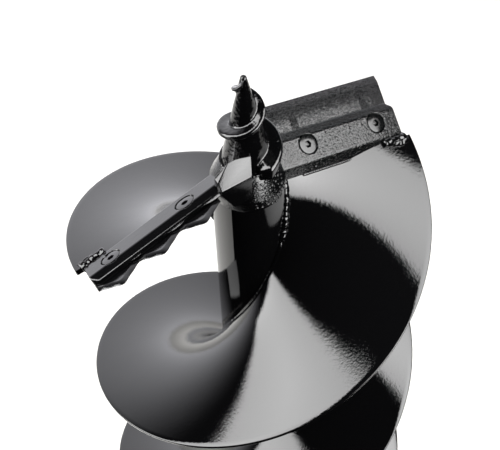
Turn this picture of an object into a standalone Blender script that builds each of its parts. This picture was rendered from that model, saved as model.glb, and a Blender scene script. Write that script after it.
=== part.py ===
"""Soil auger: a double-flight earth auger bit with a screw pilot and bolted cutting blades.

The shaft stands on the Z axis with the pilot point up. The origin is the centre of the
drive socket's mouth, the face that meets the drive head. All sizes are in metres.
"""

from math import cos, pi, radians, sin

import bmesh
import bpy
from mathutils import Matrix, Vector

# ---------------------------------------------------------------- driving dimensions
GAP = 0.0003                    # clearance kept between neighbouring solids
ROUND_STEPS = 64                # facets round the shaft and everything fitted to it
SMALL_STEPS = 32                # facets round screws, nuts and the coupling pin

# shaft
TUBE_RADIUS = 0.029
TUBE_WALL = 0.004
TUBE_BORE = TUBE_RADIUS - TUBE_WALL
SPIGOT_RADIUS = TUBE_BORE - 0.0004
HEAD_Z = 0.640                  # height of the cutting head's reference plane
TUBE_TOP = HEAD_Z + 0.048
PILOT_TIP_Z = HEAD_Z + 0.172

# drive socket
SOCKET_RADIUS = 0.038
SOCKET_BORE = 0.0255
SOCKET_BORE_DEPTH = 0.090
SOCKET_LENGTH = 0.100
SOCKET_SHOULDER = 0.115
SOCKET_SPIGOT_TOP = 0.137
SOCKET_CHAMFER = 0.0015

# coupling pin and its spring clip
PIN_Z = 0.045
PIN_RADIUS = 0.008
PIN_HOLE_RADIUS = 0.0084
PIN_HEAD_RADIUS = 0.012
PIN_HEAD_LENGTH = 0.008
PIN_END = 0.052
CLIP_X = 0.046
CLIP_WIRE = 0.0017
CLIP_HOLE = 0.0021
CLIP_LEG_TIP = 0.022
CLIP_LOOP_Y = -0.018
CLIP_LOOP_RADIUS = 0.0056

# flights: two right-handed leaves, half a turn apart, dished towards the drive end
FLIGHT_RADIUS = 0.150
FLIGHT_PITCH = 0.407
FLIGHT_THICKNESS = 0.004
FLIGHT_DISH = 0.0243            # how far the inner edge stands above the outer edge
FLIGHT_LEAD_Z = HEAD_Z + 0.030  # outer edge's height where the leaf would meet the X axis
FLIGHT_SWEEP = radians(442)
FLIGHT_OVERRUN = radians(9)     # swept past the holder, then trimmed back to it
FLIGHT_TRIM = -0.0175           # leading edge's place in the holder's frame
FLIGHT_STEPS = 76
FLIGHT_RINGS = 4

# blade holders: flat bars laid along the leaves' leading edges
BAR_ORIGIN = Vector((0.090, -0.003, HEAD_Z + 0.051))
BAR_SLOPE = radians(15.7)       # outer end below the inner end
BAR_TILT = radians(34.4)        # leading edge above the trailing edge
BAR_INNER = -0.070
BAR_OUTER = 0.0575
BAR_TRAIL = -0.014
BAR_BACK_SLOPE = 0.008          # how far the trailing face runs out from its upper edge
BAR_FACE_EDGE = 0.0075
BAR_LEAD = 0.0145
BAR_CHAMFER_DEPTH = 0.004
BAR_THICKNESS = 0.008
BAR_CORNER_CLIP = 0.0048

# blades, bolted under the holders
BLADE_HALF_LENGTH = 0.0575
BLADE_THICKNESS = 0.005
BLADE_TOP = -BAR_THICKNESS - GAP
BLADE_TRAIL = -0.009
BLADE_EDGE_DROP = 0.002         # cutting edge below the blade's top face
BLADE_TOP_BEVEL = 0.006
BLADE_BOTTOM_BEVEL = 0.008
STRAIGHT_REACH = 0.0395
TOOTH_TIP_REACH = 0.0330
TOOTH_DEPTH = 0.0155
TOOTH_COUNT = 3

# M8 countersunk screws and thin nuts
SCREW_SPREAD = 0.0353           # each screw's distance from the middle of the bar
SCREW_RADIUS = 0.004
SCREW_HEAD_RADIUS = 0.0078
SCREW_HEAD_RIM = 0.0006
SCREW_RECESS = 0.0004
SCREW_TIP = -0.0204             # 20 mm under the head's top
HEX_KEY_RADIUS = 0.0032
HEX_KEY_DEPTH = 0.0035
HOLE_RADIUS = SCREW_RADIUS + GAP
SINK_RADIUS = 0.0088
NUT_ACROSS_CORNERS = 0.01501
NUT_HEIGHT = 0.0040             # thin lock nut

# pilot: tapered core, helical ridge and a skirted collar
COLLAR_TOP = HEAD_Z + 0.080
COLLAR_TOP_RADIUS = 0.0203
COLLAR_SKIRT_TOP = HEAD_Z + 0.058
COLLAR_RADIUS = 0.030
COLLAR_SPIGOT_BOTTOM = HEAD_Z + 0.026
DOWEL_RADIUS = 0.009
DOWEL_BOTTOM = HEAD_Z + 0.0593
CORE_TOP_RADIUS = 0.0026
CORE_BASE_RADIUS = 0.0200
CORE_ROUND = 0.0022             # height of the blunt, rounded tip
RIDGE_PITCH = 0.043
RIDGE_START = radians(-97)
RIDGE_END = radians(588)
RIDGE_LEVEL_ANGLE = radians(-31)
RIDGE_LEVEL_Z = HEAD_Z + 0.094
RIDGE_LEVEL_RADIUS = 0.0280
RIDGE_RADIUS_TAPER = 0.292      # radius lost per metre of height
RIDGE_THICKEST = 0.0085
RIDGE_STEP = radians(9)

# gusset plates beside the pilot
GUSSET_FRONT = -0.0244
GUSSET_BACK = {"a": -0.0085, "b": -0.0135}
GUSSET_TOP = {"a": HEAD_Z + 0.1075, "b": HEAD_Z + 0.090}
GUSSET_FRONT_TOP = HEAD_Z + 0.0895              # where the leaning face starts
GUSSET_LEAN = radians(56.5)                     # that face's fall, off level
GUSSET_SHOULDER = (0.0065, 0.0140)              # how far the outer end steps down, and in
GUSSET_LIP = HEAD_Z + 0.084
GUSSET_BOTTOM = HEAD_Z + 0.062
GUSSET_REACH = {"a": -0.0380, "b": -0.0290}     # outer end of each plate
GUSSET_FOOT = -0.0270
GUSSET_INNER = {"a": -0.0105, "b": -0.0062}
GUSSET_INNER_TOP = {"a": -0.0040, "b": -0.0062}

HALF_TURN = pi


# ---------------------------------------------------------------- scene and materials
def clear_scene():
    for old in list(bpy.data.objects):
        bpy.data.objects.remove(old, do_unlink=True)


def make_collection(name):
    group = bpy.data.collections.new(name)
    bpy.context.scene.collection.children.link(group)
    return group


def make_material(name, colour, roughness, metallic):
    finish = bpy.data.materials.new(name)
    finish.use_nodes = True
    shader = finish.node_tree.nodes["Principled BSDF"]
    shader.inputs["Base Color"].default_value = (*colour, 1.0)
    shader.inputs["Roughness"].default_value = roughness
    shader.inputs["Metallic"].default_value = metallic
    return finish


clear_scene()
PARTS = make_collection("soil_auger")
CUTTERS = make_collection("cutters")

GLOSS_BLACK = (0.012, 0.012, 0.013)
TEXTURED_BLACK = (0.018, 0.018, 0.019)
ZINC_GREY = (0.55, 0.55, 0.56)


def painted(name):
    return make_material(name, GLOSS_BLACK, 0.12, 0.0)


def powder_coated(name):
    return make_material(name, TEXTURED_BLACK, 0.30, 0.0)


def plated(name):
    return make_material(name, ZINC_GREY, 0.35, 1.0)


def place_part(obj, material):
    """Put a finished sub-part in the parts collection with a material of its own."""
    PARTS.objects.link(obj)
    obj.data.materials.append(material)
    shade(obj.data)
    return obj


def shade(mesh):
    if isinstance(mesh, bpy.types.Mesh) and mesh.polygons:
        mesh.shade_smooth()
        mesh.set_sharp_from_angle(angle=radians(35))


def place_cutter(obj):
    CUTTERS.objects.link(obj)
    obj.hide_render = True
    obj.display_type = "WIRE"
    return obj


# ---------------------------------------------------------------- shape helpers
def turned(name, profile, steps=ROUND_STEPS, closed=False, place=Matrix()):
    """Turn a profile of (radius, height) points round the local Z axis."""
    mesh = bpy.data.meshes.new(name)
    points = [(radius, 0.0, height) for radius, height in profile]
    edges = [(i, i + 1) for i in range(len(points) - 1)]
    if closed:
        edges.append((len(points) - 1, 0))
    mesh.from_pydata(points, edges, [])
    obj = bpy.data.objects.new(name, mesh)
    obj.matrix_world = place
    spin = obj.modifiers.new("Turn", "SCREW")
    spin.angle = 2 * pi
    spin.steps = steps
    spin.render_steps = steps
    spin.use_merge_vertices = True
    spin.merge_threshold = 0.00002
    return obj


def prism(name, outline, thickness, place=Matrix()):
    """Extrude a flat outline by its whole thickness, centred on the local XY plane."""
    curve = bpy.data.curves.new(name, "CURVE")
    curve.dimensions = "2D"
    curve.fill_mode = "BOTH"
    curve.extrude = thickness / 2
    spline = curve.splines.new("POLY")
    spline.points.add(len(outline) - 1)
    for point, (x, y) in zip(spline.points, outline):
        point.co = (x, y, 0.0, 1.0)
    spline.use_cyclic_u = True
    drawn = bpy.data.objects.new(name + "_outline", curve)
    CUTTERS.objects.link(drawn)
    bpy.context.view_layer.update()
    mesh = bpy.data.meshes.new_from_object(drawn.evaluated_get(bpy.context.evaluated_depsgraph_get()))
    bpy.data.objects.remove(drawn, do_unlink=True)
    close_mesh(mesh)
    mesh.name = name
    obj = bpy.data.objects.new(name, mesh)
    obj.matrix_world = place
    return obj


def close_mesh(mesh):
    work = bmesh.new()
    work.from_mesh(mesh)
    bmesh.ops.remove_doubles(work, verts=work.verts, dist=0.00001)
    bmesh.ops.recalc_face_normals(work, faces=work.faces)
    work.to_mesh(mesh)
    work.free()


def loft(name, sections, place=Matrix()):
    """Join unlike sections of equal point count into one closed skin with flat ends."""
    work = bmesh.new()
    rings = [[work.verts.new(point) for point in section] for section in sections]
    count = len(sections[0])
    for lower, upper in zip(rings, rings[1:]):
        for i in range(count):
            j = (i + 1) % count
            work.faces.new((lower[i], lower[j], upper[j], upper[i]))
    work.faces.new(rings[0])
    work.faces.new(list(reversed(rings[-1])))
    bmesh.ops.recalc_face_normals(work, faces=work.faces)
    mesh = bpy.data.meshes.new(name)
    work.to_mesh(mesh)
    work.free()
    obj = bpy.data.objects.new(name, mesh)
    obj.matrix_world = place
    return obj


def cylinder(name, radius, length, sides=ROUND_STEPS, place=Matrix(), end_radius=None):
    """A round or many-sided bar centred on the local origin, along local Z."""
    work = bmesh.new()
    top = radius if end_radius is None else end_radius
    bmesh.ops.create_cone(work, cap_ends=True, segments=sides, radius1=radius, radius2=top, depth=length)
    mesh = bpy.data.meshes.new(name)
    work.to_mesh(mesh)
    work.free()
    obj = bpy.data.objects.new(name, mesh)
    obj.matrix_world = place
    return obj


def block(name, low, high, place=Matrix()):
    work = bmesh.new()
    bmesh.ops.create_cube(work, size=1.0)
    size = [b - a for a, b in zip(low, high)]
    middle = [(a + b) / 2 for a, b in zip(low, high)]
    bmesh.ops.scale(work, vec=size, verts=work.verts)
    bmesh.ops.translate(work, vec=middle, verts=work.verts)
    mesh = bpy.data.meshes.new(name)
    work.to_mesh(mesh)
    work.free()
    obj = bpy.data.objects.new(name, mesh)
    obj.matrix_world = place
    return obj


def combine(obj, tool, operation="DIFFERENCE"):
    step = obj.modifiers.new(tool.name, "BOOLEAN")
    step.operation = operation
    step.solver = "EXACT"
    step.object = tool


# ---------------------------------------------------------------- shaft and drive end
SOCKET_PROFILE = [
    (0.0, SOCKET_SPIGOT_TOP),
    (SPIGOT_RADIUS, SOCKET_SPIGOT_TOP),
    (SPIGOT_RADIUS, SOCKET_SHOULDER),
    (TUBE_RADIUS, SOCKET_SHOULDER),
    (SOCKET_RADIUS, SOCKET_LENGTH),
    (SOCKET_RADIUS, SOCKET_CHAMFER),
    (SOCKET_RADIUS - SOCKET_CHAMFER, 0.0),
    (SOCKET_BORE + SOCKET_CHAMFER, 0.0),
    (SOCKET_BORE, SOCKET_CHAMFER),
    (SOCKET_BORE, SOCKET_BORE_DEPTH),
    (0.0, SOCKET_BORE_DEPTH),
]

PIN_PLACE = Matrix.Translation((0, 0, PIN_Z)) @ Matrix.Rotation(pi / 2, 4, "Y")


def build_tube():
    bottom = SOCKET_SHOULDER + GAP
    profile = [(TUBE_BORE, bottom), (TUBE_BORE, TUBE_TOP), (TUBE_RADIUS, TUBE_TOP), (TUBE_RADIUS, bottom)]
    place_part(turned("tube", profile, closed=True), painted("tube_paint"))


def build_socket():
    socket = turned("drive_socket", SOCKET_PROFILE)
    cross_hole = cylinder("socket_cross_hole", PIN_HOLE_RADIUS, 4 * SOCKET_RADIUS, SMALL_STEPS, PIN_PLACE)
    combine(socket, place_cutter(cross_hole))
    place_part(socket, painted("socket_paint"))


def build_pin():
    seat = -SOCKET_RADIUS - GAP
    profile = [
        (0.0, PIN_END),
        (PIN_RADIUS - 0.0015, PIN_END),
        (PIN_RADIUS, PIN_END - 0.0015),
        (PIN_RADIUS, seat),
        (PIN_HEAD_RADIUS, seat),
        (PIN_HEAD_RADIUS, seat - PIN_HEAD_LENGTH + 0.001),
        (PIN_HEAD_RADIUS - 0.001, seat - PIN_HEAD_LENGTH),
        (0.0, seat - PIN_HEAD_LENGTH),
    ]
    pin = turned("coupling_pin", profile, SMALL_STEPS, place=PIN_PLACE)
    across = Matrix.Translation((CLIP_X, 0, PIN_Z)) @ Matrix.Rotation(pi / 2, 4, "X")
    combine(pin, place_cutter(cylinder("pin_clip_hole", CLIP_HOLE, 4 * PIN_RADIUS, 16, across)))
    place_part(pin, plated("pin_zinc"))


def clip_path():
    """The wire's centre line as (y, z) about the pin: straight leg, end loop, sprung leg."""
    points = [(CLIP_LEG_TIP, 0.0), (0.0, 0.0), (CLIP_LOOP_Y, 0.0)]
    for i in range(1, 12):
        angle = -pi / 2 - pi * i / 12
        points.append((CLIP_LOOP_Y + CLIP_LOOP_RADIUS * cos(angle), CLIP_LOOP_RADIUS * (1 + sin(angle))))
    points.append((CLIP_LOOP_Y, 2 * CLIP_LOOP_RADIUS))
    points.append((-0.013, 0.0108))
    for i in range(-5, 6):
        points.append((0.002 * i, 0.0113 + 0.0012 * cos(pi * i / 5)))
    points += [(0.014, 0.0110), (0.0175, 0.0128), (0.0205, 0.0150)]
    return points


def build_clip():
    curve = bpy.data.curves.new("spring_clip", "CURVE")
    curve.dimensions = "3D"
    curve.bevel_depth = CLIP_WIRE
    curve.bevel_resolution = 2
    curve.use_fill_caps = True
    spline = curve.splines.new("POLY")
    path = clip_path()
    spline.points.add(len(path) - 1)
    for point, (y, z) in zip(spline.points, path):
        point.co = (0.0, y, z, 1.0)
    clip = bpy.data.objects.new("spring_clip", curve)
    clip.location = (CLIP_X, 0, PIN_Z)
    PARTS.objects.link(clip)
    curve.materials.append(plated("clip_zinc"))


# ---------------------------------------------------------------- pilot
COLLAR_PROFILE = [
    (0.0, DOWEL_BOTTOM - GAP),
    (DOWEL_RADIUS + GAP, DOWEL_BOTTOM - GAP),
    (DOWEL_RADIUS + GAP, COLLAR_TOP),
    (COLLAR_TOP_RADIUS, COLLAR_TOP),
    (COLLAR_RADIUS, COLLAR_SKIRT_TOP),
    (COLLAR_RADIUS, TUBE_TOP + GAP),
    (SPIGOT_RADIUS, TUBE_TOP + GAP),
    (SPIGOT_RADIUS, COLLAR_SPIGOT_BOTTOM),
    (0.0, COLLAR_SPIGOT_BOTTOM),
]

HEAD_ENVELOPE = [
    (0.0, PILOT_TIP_Z),
    (CORE_TOP_RADIUS + 0.0005, PILOT_TIP_Z),
    (COLLAR_TOP_RADIUS + 0.0005, COLLAR_TOP + GAP),
    (COLLAR_RADIUS + 0.0004, COLLAR_SKIRT_TOP + GAP),
    (COLLAR_RADIUS + 0.0004, TUBE_TOP),
    (TUBE_RADIUS + GAP, TUBE_TOP),
    (TUBE_RADIUS + GAP, SOCKET_SHOULDER),
    (0.0, SOCKET_SHOULDER),
]


def core_profile():
    """A straight taper under a rounded nose, above the dowel that seats in the collar."""
    base = COLLAR_TOP + GAP
    nose = PILOT_TIP_Z - CORE_ROUND
    points = [(CORE_TOP_RADIUS * sin(a), nose + CORE_ROUND * cos(a)) for a in [i * pi / 8 for i in range(5)]]
    points[0] = (0.0, PILOT_TIP_Z)
    points += [(CORE_BASE_RADIUS, base), (DOWEL_RADIUS, base), (DOWEL_RADIUS, DOWEL_BOTTOM), (0.0, DOWEL_BOTTOM)]
    return points


def core_radius(height):
    base = COLLAR_TOP + GAP
    nose = PILOT_TIP_Z - CORE_ROUND
    share = (height - base) / (nose - base)
    return CORE_BASE_RADIUS + (CORE_TOP_RADIUS - CORE_BASE_RADIUS) * share


def ridge_section(angle):
    """One slice of the ridge, in the half plane through the axis at this angle."""
    height = RIDGE_LEVEL_Z + RIDGE_PITCH * (angle - RIDGE_LEVEL_ANGLE) / (2 * pi)
    outer = RIDGE_LEVEL_RADIUS - RIDGE_RADIUS_TAPER * (height - RIDGE_LEVEL_Z)
    root = core_radius(height) * 0.75
    reach = outer - core_radius(height)
    thick = min(RIDGE_THICKEST, 0.0022 + 0.55 * reach)
    slice_points = [
        (root, height + 0.55 * thick),
        (outer - 0.20 * thick, height + 0.42 * thick),
        (outer, height + 0.15 * thick),
        (outer - 0.05 * thick, height - 0.40 * thick),
        (core_radius(height) + 0.25 * reach, height - 0.75 * thick),
        (root, height - 1.35 * thick),
    ]
    floor = COLLAR_TOP + 0.0006
    return [(radius * cos(angle), radius * sin(angle), max(z, floor)) for radius, z in slice_points]


def build_pilot():
    pilot = turned("pilot_screw", core_profile(), 48)
    count = int((RIDGE_END - RIDGE_START) / RIDGE_STEP)
    angles = [RIDGE_START + (RIDGE_END - RIDGE_START) * i / count for i in range(count + 1)]
    ridge = loft("pilot_ridge", [ridge_section(angle) for angle in angles])
    combine(pilot, place_cutter(ridge), "UNION")
    place_part(pilot, painted("pilot_paint"))
    place_part(turned("pilot_collar", COLLAR_PROFILE), painted("collar_paint"))


# ---------------------------------------------------------------- cutting head
PROFILE_ALONG_BAR = Matrix(((0, 0, 1, 0), (1, 0, 0, 0), (0, 1, 0, 0), (0, 0, 0, 1)))


def bar_place(turn):
    """The holder's own frame: X outwards along the bar, Y to its leading edge, Z off its face."""
    lean = Matrix.Rotation(BAR_SLOPE, 4, "Y") @ Matrix.Rotation(BAR_TILT, 4, "X")
    return Matrix.Rotation(turn, 4, "Z") @ Matrix.Translation(BAR_ORIGIN) @ lean


def bar_section(grow=0.0):
    return [
        (BAR_TRAIL - grow, grow),
        (BAR_TRAIL - BAR_BACK_SLOPE - grow, -BAR_THICKNESS - grow),
        (BAR_LEAD + grow, -BAR_THICKNESS - grow),
        (BAR_LEAD + grow, -BAR_CHAMFER_DEPTH + grow),
        (BAR_FACE_EDGE + grow, grow),
    ]


def bar_prism(name, turn, grow=0.0):
    length = BAR_OUTER - BAR_INNER + 2 * grow
    slide = Matrix.Translation(((BAR_OUTER + BAR_INNER) / 2, 0, 0))
    return prism(name, bar_section(grow), length, bar_place(turn) @ slide @ PROFILE_ALONG_BAR)


def screw_places(turn):
    return [bar_place(turn) @ Matrix.Translation((side * SCREW_SPREAD, 0, 0)) for side in (-1, 1)]


def screw_cutters(name, turn):
    """A through hole with a wide countersink for each screw, as one tool per hole."""
    top, cone_depth = 0.002, SINK_RADIUS - HOLE_RADIUS
    profile = [
        (0.0, top),
        (SINK_RADIUS, top),
        (SINK_RADIUS, -SCREW_RECESS - SCREW_HEAD_RIM),
        (HOLE_RADIUS, -SCREW_RECESS - SCREW_HEAD_RIM - cone_depth),
        (HOLE_RADIUS, -0.030),
        (0.0, -0.030),
    ]
    return [
        place_cutter(turned("%s_hole_%d" % (name, i + 1), profile, SMALL_STEPS, place=place))
        for i, place in enumerate(screw_places(turn))
    ]


def build_holder(letter, turn):
    name = "blade_holder_" + letter
    bar = bar_prism(name, turn)
    corner = Matrix.Translation((BAR_OUTER, BAR_LEAD, 0)) @ Matrix.Rotation(pi / 4, 4, "Z")
    half = BAR_CORNER_CLIP * cos(pi / 4)
    clip = block(name + "_corner", (-half, -0.02, -0.03), (0.02, 0.02, 0.03), bar_place(turn) @ corner)
    combine(bar, place_cutter(clip))
    combine(bar, ENVELOPE)
    tools = screw_cutters(name, turn)
    for tool in tools:
        combine(bar, tool)
    place_part(bar, powder_coated(name + "_paint"))
    return tools


def blade_section(x, reach):
    """A slice across a blade: flat body, ground top bevel, longer bottom bevel."""
    bottom = BLADE_TOP - BLADE_THICKNESS
    return [
        (x, BLADE_TRAIL, BLADE_TOP),
        (x, reach - BLADE_TOP_BEVEL, BLADE_TOP),
        (x, reach, BLADE_TOP - BLADE_EDGE_DROP),
        (x, reach - BLADE_BOTTOM_BEVEL, bottom),
        (x, BLADE_TRAIL, bottom),
    ]


def tooth_reach(x):
    """Rounded triangular teeth: tips at the blade's middle and thirds, roots between."""
    phase = 2 * pi * TOOTH_COUNT * (x + BLADE_HALF_LENGTH) / (2 * BLADE_HALF_LENGTH)
    wave = 0.5 - 0.5 * (0.90 * cos(phase) + 0.10 * cos(3 * phase))
    return TOOTH_TIP_REACH - TOOTH_DEPTH * (1 - wave)


def straight_reach(x):
    return STRAIGHT_REACH


def build_blade(name, turn, reach, slices, hole_tools):
    stations = [-BLADE_HALF_LENGTH + 2 * BLADE_HALF_LENGTH * i / slices for i in range(slices + 1)]
    blade = loft(name, [blade_section(x, reach(x)) for x in stations], bar_place(turn))
    for tool in hole_tools:
        combine(blade, tool)
    place_part(blade, powder_coated(name + "_paint"))


def build_fasteners(letter, turn):
    head_top = -SCREW_RECESS
    cone = SCREW_HEAD_RADIUS - SCREW_RADIUS
    profile = [
        (0.0, head_top),
        (SCREW_HEAD_RADIUS, head_top),
        (SCREW_HEAD_RADIUS, head_top - SCREW_HEAD_RIM),
        (SCREW_RADIUS, head_top - SCREW_HEAD_RIM - cone),
        (SCREW_RADIUS, SCREW_TIP),
        (0.0, SCREW_TIP),
    ]
    nut_top = BLADE_TOP - BLADE_THICKNESS - GAP
    for i, place in enumerate(screw_places(turn)):
        tag = "%s%d" % (letter, i + 1)
        screw = turned("blade_screw_" + tag, profile, SMALL_STEPS, place=place)
        key = place @ Matrix.Translation((0, 0, head_top))
        combine(screw, place_cutter(cylinder("key_" + tag, HEX_KEY_RADIUS, 2 * HEX_KEY_DEPTH, 6, key)))
        place_part(screw, powder_coated("screw_finish_" + tag))

        middle = place @ Matrix.Translation((0, 0, nut_top - NUT_HEIGHT / 2))
        nut = cylinder("blade_nut_" + tag, NUT_ACROSS_CORNERS / 2, NUT_HEIGHT, 6, middle)
        bore = cylinder("nut_bore_" + tag, HOLE_RADIUS, 2 * NUT_HEIGHT, SMALL_STEPS, middle)
        combine(nut, place_cutter(bore))
        place_part(nut, plated("nut_zinc_" + tag))


def build_gusset(letter, turn):
    """A plate that stands beside the pilot and ties the collar to the holder's inner end."""
    top, reach, back = GUSSET_TOP[letter], GUSSET_REACH[letter], GUSSET_BACK[letter]
    outline = [
        (reach, GUSSET_LIP),
        (GUSSET_FOOT, GUSSET_BOTTOM),
        (GUSSET_INNER[letter], GUSSET_BOTTOM),
        (GUSSET_INNER[letter], GUSSET_FRONT_TOP),
        (GUSSET_INNER_TOP[letter], top),
    ]
    if letter == "a":
        outline += [(reach + GUSSET_SHOULDER[1], top), (reach, GUSSET_FRONT_TOP + GUSSET_SHOULDER[0])]
    else:
        outline += [(reach, top)]
    upright = Matrix.Translation((0, (GUSSET_FRONT + back) / 2, 0)) @ Matrix.Rotation(pi / 2, 4, "X")
    name = "gusset_" + letter
    plate = prism(name, outline, back - GUSSET_FRONT, Matrix.Rotation(turn, 4, "Z") @ upright)
    if letter == "a":
        lean = Matrix.Translation((0, GUSSET_FRONT, GUSSET_FRONT_TOP)) @ Matrix.Rotation(GUSSET_LEAN, 4, "X")
        combine(plate, place_cutter(block("gusset_lean", (-0.09, -0.02, 0.0), (0.03, 0.05, 0.04), lean)))
    combine(plate, ENVELOPE)
    combine(plate, BAR_ENVELOPES["b" if letter == "a" else "a"])
    place_part(plate, painted(name + "_paint"))


# ---------------------------------------------------------------- flights
def build_flight(letter, turn):
    """Sweep the dished leaf up its helix, thicken it, then trim it to the shaft and holder."""
    rise = FLIGHT_PITCH / (2 * pi)
    start = -FLIGHT_SWEEP
    inner = TUBE_RADIUS - 0.0025
    points = []
    for i in range(FLIGHT_RINGS + 1):
        radius = inner + (FLIGHT_RADIUS - inner) * i / FLIGHT_RINGS
        height = FLIGHT_LEAD_Z + FLIGHT_DISH * (FLIGHT_RADIUS - radius) / (FLIGHT_RADIUS - TUBE_RADIUS)
        points.append((radius * cos(start), radius * sin(start), height + rise * start))
    mesh = bpy.data.meshes.new("flight_" + letter)
    mesh.from_pydata(points, [(i, i + 1) for i in range(FLIGHT_RINGS)], [])
    leaf = bpy.data.objects.new("flight_" + letter, mesh)
    leaf.matrix_world = Matrix.Rotation(turn, 4, "Z")
    sweep = leaf.modifiers.new("Helix", "SCREW")
    sweep.angle = FLIGHT_SWEEP + FLIGHT_OVERRUN
    sweep.screw_offset = rise * (FLIGHT_SWEEP + FLIGHT_OVERRUN)
    sweep.steps = FLIGHT_STEPS
    sweep.render_steps = FLIGHT_STEPS
    sweep.use_merge_vertices = False
    thicken = leaf.modifiers.new("Plate", "SOLIDIFY")
    thicken.thickness = FLIGHT_THICKNESS
    thicken.offset = 0.0
    ahead = block(
        "flight_%s_front" % letter,
        (-0.090, FLIGHT_TRIM, -0.080),
        (0.090, 0.090, 0.060),
        bar_place(turn),
    )
    combine(leaf, place_cutter(ahead))
    combine(leaf, BAR_ENVELOPES[letter])
    combine(leaf, ENVELOPE)
    place_part(leaf, painted("flight_%s_paint" % letter))


# ---------------------------------------------------------------- assembly
ENVELOPE = place_cutter(turned("head_envelope", HEAD_ENVELOPE))
BAR_ENVELOPES = {
    letter: place_cutter(bar_prism("bar_envelope_" + letter, turn, GAP))
    for letter, turn in (("a", 0.0), ("b", HALF_TURN))
}

build_tube()
build_socket()
build_pin()
build_clip()
build_pilot()
for side, half_turns, blade_name, edge, stations in (
    ("a", 0.0, "straight_blade", straight_reach, 1),
    ("b", HALF_TURN, "toothed_blade", tooth_reach, 36),
):
    holes = build_holder(side, half_turns)
    build_blade(blade_name, half_turns, edge, stations, holes)
    build_fasteners(side, half_turns)
    build_gusset(side, half_turns)
    build_flight(side, half_turns)
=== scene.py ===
"""Looks of the soil auger: fine surfaces, welds, finishes, floor, light and camera.

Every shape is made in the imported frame's own coordinates, in metres, with the shaft on Z,
the drive end at the bottom and the pilot point up.
"""
from math import cos, pi, radians, sin

import bmesh
import bpy
from mathutils import Matrix, Vector


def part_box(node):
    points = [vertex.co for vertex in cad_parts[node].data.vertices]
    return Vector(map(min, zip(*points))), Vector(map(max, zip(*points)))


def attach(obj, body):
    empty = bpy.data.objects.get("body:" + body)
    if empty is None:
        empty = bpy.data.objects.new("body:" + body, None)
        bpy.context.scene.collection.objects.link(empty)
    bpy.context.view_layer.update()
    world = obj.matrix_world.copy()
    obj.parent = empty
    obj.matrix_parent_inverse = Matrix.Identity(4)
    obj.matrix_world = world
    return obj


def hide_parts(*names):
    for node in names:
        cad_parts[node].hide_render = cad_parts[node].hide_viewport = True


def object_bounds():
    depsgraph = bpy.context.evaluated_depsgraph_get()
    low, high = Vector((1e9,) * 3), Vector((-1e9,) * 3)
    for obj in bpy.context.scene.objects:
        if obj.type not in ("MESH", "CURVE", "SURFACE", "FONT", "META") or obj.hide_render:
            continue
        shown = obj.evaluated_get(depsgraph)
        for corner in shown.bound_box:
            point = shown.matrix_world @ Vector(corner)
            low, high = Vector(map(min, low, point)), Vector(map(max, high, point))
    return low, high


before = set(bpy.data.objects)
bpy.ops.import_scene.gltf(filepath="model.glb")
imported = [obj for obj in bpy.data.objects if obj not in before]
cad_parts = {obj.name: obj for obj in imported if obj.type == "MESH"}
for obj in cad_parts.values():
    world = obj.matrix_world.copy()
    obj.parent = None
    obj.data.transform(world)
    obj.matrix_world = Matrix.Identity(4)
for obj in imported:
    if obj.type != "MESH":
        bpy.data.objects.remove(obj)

CAD_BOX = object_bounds()

# ---------------------------------------------------------------- sizes
TUBE_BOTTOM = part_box("tube")[0].z
HEAD_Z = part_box("tube")[1].z - 0.048      # the cutting head's reference plane
TUBE_TOP = HEAD_Z + 0.048
TIP_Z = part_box("pilot_screw")[1].z
GAP = 0.0003

TUBE_RADIUS = 0.029
TUBE_WALL = 0.004
SPIGOT_RADIUS = TUBE_RADIUS - TUBE_WALL - 0.0004
SPIGOT_LENGTH = 0.022
SOCKET_RADIUS = 0.038
SOCKET_BORE = 0.0255
SOCKET_DEPTH = 0.090
SOCKET_SHOULDER = 0.115
SOCKET_LENGTH = 0.100
PIN_Z = 0.045
PIN_RADIUS = 0.008
PIN_END = 0.052
PIN_HEAD = 0.012
CROSS_HOLE_RADIUS = 0.0084
CLIP_X = 0.046
WIRE_RADIUS = 0.0017

FLIGHT_RADIUS = 0.150
FLIGHT_ROOT = 0.0268
FLIGHT_PITCH = 0.407
FLIGHT_DISH = 0.0243
FLIGHT_LEAD_Z = HEAD_Z + 0.030
FLIGHT_START = -442.0
FLIGHT_END = 9.0
FLIGHT_THICKNESS = 0.004
FLIGHT_TRIM = -0.0175
RISE = FLIGHT_PITCH / (2 * pi)

BAR_ORIGIN = Vector((0.090, -0.003, HEAD_Z + 0.051))
BAR_SLOPE = radians(15.7)
BAR_TILT = radians(34.4)
BAR_INNER = -0.070
BAR_OUTER = 0.0575
BAR_TRAIL = -0.014
BAR_BACK_SLOPE = 0.008
BAR_FACE_EDGE = 0.0075
BAR_LEAD = 0.0145
BAR_CHAMFER = 0.004
BAR_THICKNESS = 0.008
BAR_CORNER_CLIP = 0.0048

BLADE_HALF = 0.0575
BLADE_THICKNESS = 0.005
BLADE_TOP = -BAR_THICKNESS - GAP
BLADE_TRAIL = -0.009
BLADE_EDGE_DROP = 0.002
BLADE_TOP_BEVEL = 0.006
BLADE_BOTTOM_BEVEL = 0.008
STRAIGHT_REACH = 0.0395
TOOTH_REACH = 0.0330
TOOTH_DEPTH = 0.0155
TOOTH_COUNT = 3

SCREW_SPREAD = 0.0353
SCREW_HEAD = 0.0078
SCREW_RADIUS = 0.004
SCREW_RECESS = 0.0004
SCREW_RIM = 0.0006
SCREW_TIP = -0.0204
SINK_RADIUS = 0.0088
HEX_RADIUS = 0.0032
HEX_DEPTH = 0.0035
HOLE_RADIUS = 0.0043
NUT_RADIUS = 0.0075
NUT_HEIGHT = 0.004

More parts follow.
